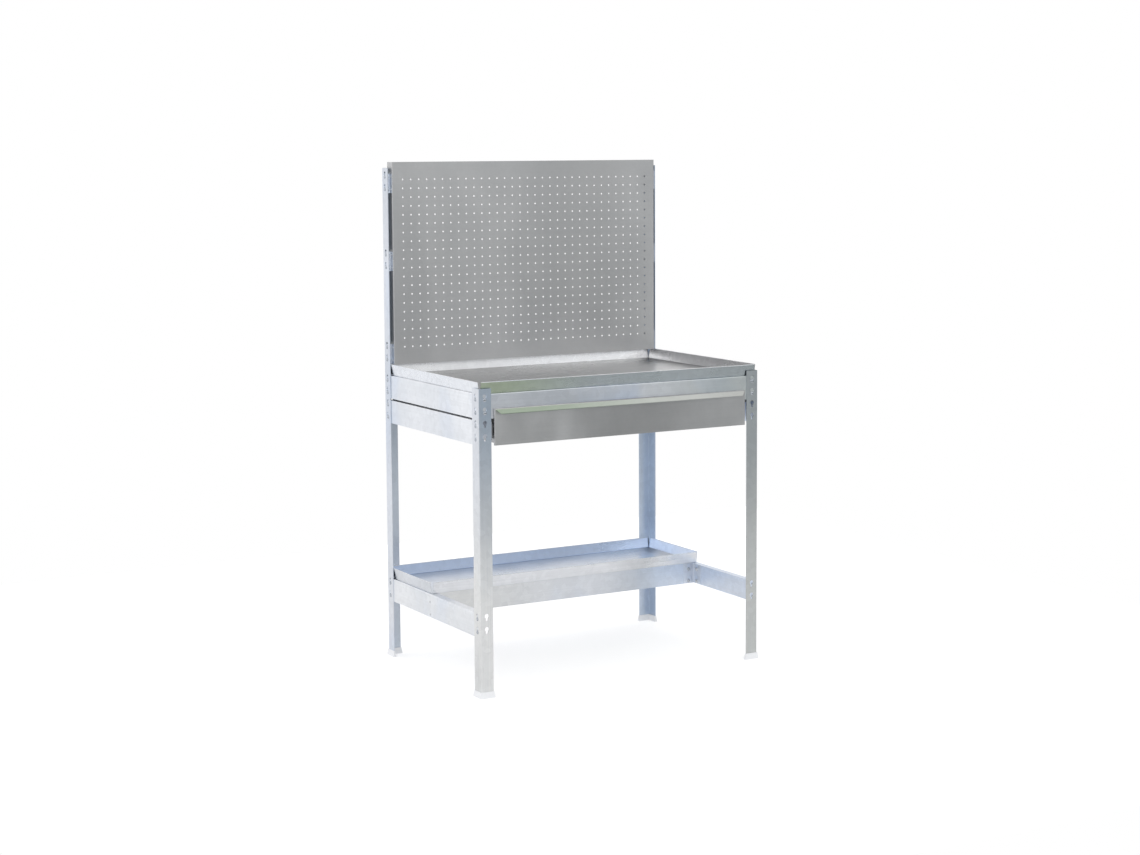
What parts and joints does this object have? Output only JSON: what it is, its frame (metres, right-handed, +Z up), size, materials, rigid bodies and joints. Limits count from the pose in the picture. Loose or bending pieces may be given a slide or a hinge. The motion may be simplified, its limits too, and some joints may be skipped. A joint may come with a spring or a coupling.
{
  "type": "potting bench",
  "caption": "Galvanised sheet potting bench: flared worktop tray, perforated tool panel, drawer on ball bearing slides and a half-depth lower tray on angle posts with keyhole studs.",
  "frame": {"origin": "on the floor at the middle of the bench's overall width and depth", "axes": "+X to the bench's right seen from the front, +Y to the rear where the tool panel stands, +Z up"},
  "size_m": [0.9084, 0.6206, 1.445],
  "materials": {
    "galvanised_steel": "galvanised, soft spangle",
    "tray_steel": "galvanised sheet, satin",
    "panel_steel": "galvanised sheet, satin grey",
    "drawer_steel": "galvanised sheet, satin grey",
    "foot_plastic": "white moulded plastic",
    "bumper_rubber": "black rubber",
    "zinc_fastener": "bright zinc plated",
    "slide_steel": "zinc plated, rolled",
    "ball_steel": "polished"
  },
  "bodies": {
    "frame": {"bracket_bolts": "zinc_fastener", "carrier_rivets": "zinc_fastener", "drawer_bumpers": "bumper_rubber", "front_left_cap": "foot_plastic", "front_left_post": "galvanised_steel", "front_right_cap": "foot_plastic", "front_right_post": "galvanised_steel", "front_upper_beam": "galvanised_steel", "keyhole_studs": "zinc_fastener", "left_cross_bracket": "galvanised_steel", "left_drawer_beam": "galvanised_steel", "left_lower_beam": "galvanised_steel", "left_panel_brackets": "galvanised_steel", "left_panel_edge": "panel_steel", "left_slide_carrier": "galvanised_steel", "left_slide_outer": "slide_steel", "left_upper_beam": "galvanised_steel", "lower_middle_beam": "galvanised_steel", "lower_tray": "tray_steel", "panel_bottom_hem": "panel_steel", "panel_rivets": "zinc_fastener", "panel_top_hem": "panel_steel", "rear_left_cap": "foot_plastic", "rear_left_post": "galvanised_steel", "rear_lower_beam": "galvanised_steel", "rear_right_cap": "foot_plastic", "rear_right_post": "galvanised_steel", "rear_upper_beam": "galvanised_steel", "right_cross_bracket": "galvanised_steel", "right_drawer_beam": "galvanised_steel", "right_lower_beam": "galvanised_steel", "right_panel_brackets": "galvanised_steel", "right_panel_edge": "panel_steel", "right_slide_carrier": "galvanised_steel", "right_slide_outer": "slide_steel", "right_upper_beam": "galvanised_steel", "slide_rivets": "zinc_fastener", "tool_panel": "panel_steel", "worktop_stiffeners": "galvanised_steel", "worktop_tray": "tray_steel"},
    "drawer": {"drawer_front": "drawer_steel", "drawer_floor": "drawer_steel", "drawer_left_wall": "drawer_steel", "drawer_right_wall": "drawer_steel", "drawer_inner_front": "drawer_steel", "drawer_back_wall": "drawer_steel", "drawer_screws": "zinc_fastener", "left_slide_inner": "slide_steel", "right_slide_inner": "slide_steel"},
    "left_slide_middle": {"left_slide_middle": "slide_steel"},
    "left_outer_cage": {"left_outer_cage": "slide_steel", "left_outer_balls": "ball_steel"},
    "left_inner_cage": {"left_inner_cage": "slide_steel", "left_inner_balls": "ball_steel"},
    "right_slide_middle": {"right_slide_middle": "slide_steel"},
    "right_outer_cage": {"right_outer_cage": "slide_steel", "right_outer_balls": "ball_steel"},
    "right_inner_cage": {"right_inner_cage": "slide_steel", "right_inner_balls": "ball_steel"}
  },
  "joints": [
    {"name": "drawer_slide", "type": "slide", "parent": "frame", "child": "drawer", "axis": [0, -1, 0], "range_m": [0, 0.42]},
    {"name": "left_slide_middle_travel", "type": "slide", "parent": "frame", "child": "left_slide_middle", "axis": [0, -1, 0], "range_m": [0, 0.21]},
    {"name": "left_outer_cage_travel", "type": "slide", "parent": "frame", "child": "left_outer_cage", "axis": [0, -1, 0], "range_m": [0, 0.105]},
    {"name": "left_inner_cage_travel", "type": "slide", "parent": "frame", "child": "left_inner_cage", "axis": [0, -1, 0], "range_m": [0, 0.315]},
    {"name": "right_slide_middle_travel", "type": "slide", "parent": "frame", "child": "right_slide_middle", "axis": [0, -1, 0], "range_m": [0, 0.21]},
    {"name": "right_outer_cage_travel", "type": "slide", "parent": "frame", "child": "right_outer_cage", "axis": [0, -1, 0], "range_m": [0, 0.105]},
    {"name": "right_inner_cage_travel", "type": "slide", "parent": "frame", "child": "right_inner_cage", "axis": [0, -1, 0], "range_m": [0, 0.315]}
  ],
  "couplings": [
    {"joint": "left_slide_middle_travel", "follows": "drawer_slide", "ratio": 0.5},
    {"joint": "left_outer_cage_travel", "follows": "drawer_slide", "ratio": 0.25},
    {"joint": "left_inner_cage_travel", "follows": "drawer_slide", "ratio": 0.75},
    {"joint": "right_slide_middle_travel", "follows": "drawer_slide", "ratio": 0.5},
    {"joint": "right_outer_cage_travel", "follows": "drawer_slide", "ratio": 0.25},
    {"joint": "right_inner_cage_travel", "follows": "drawer_slide", "ratio": 0.75}
  ]
}
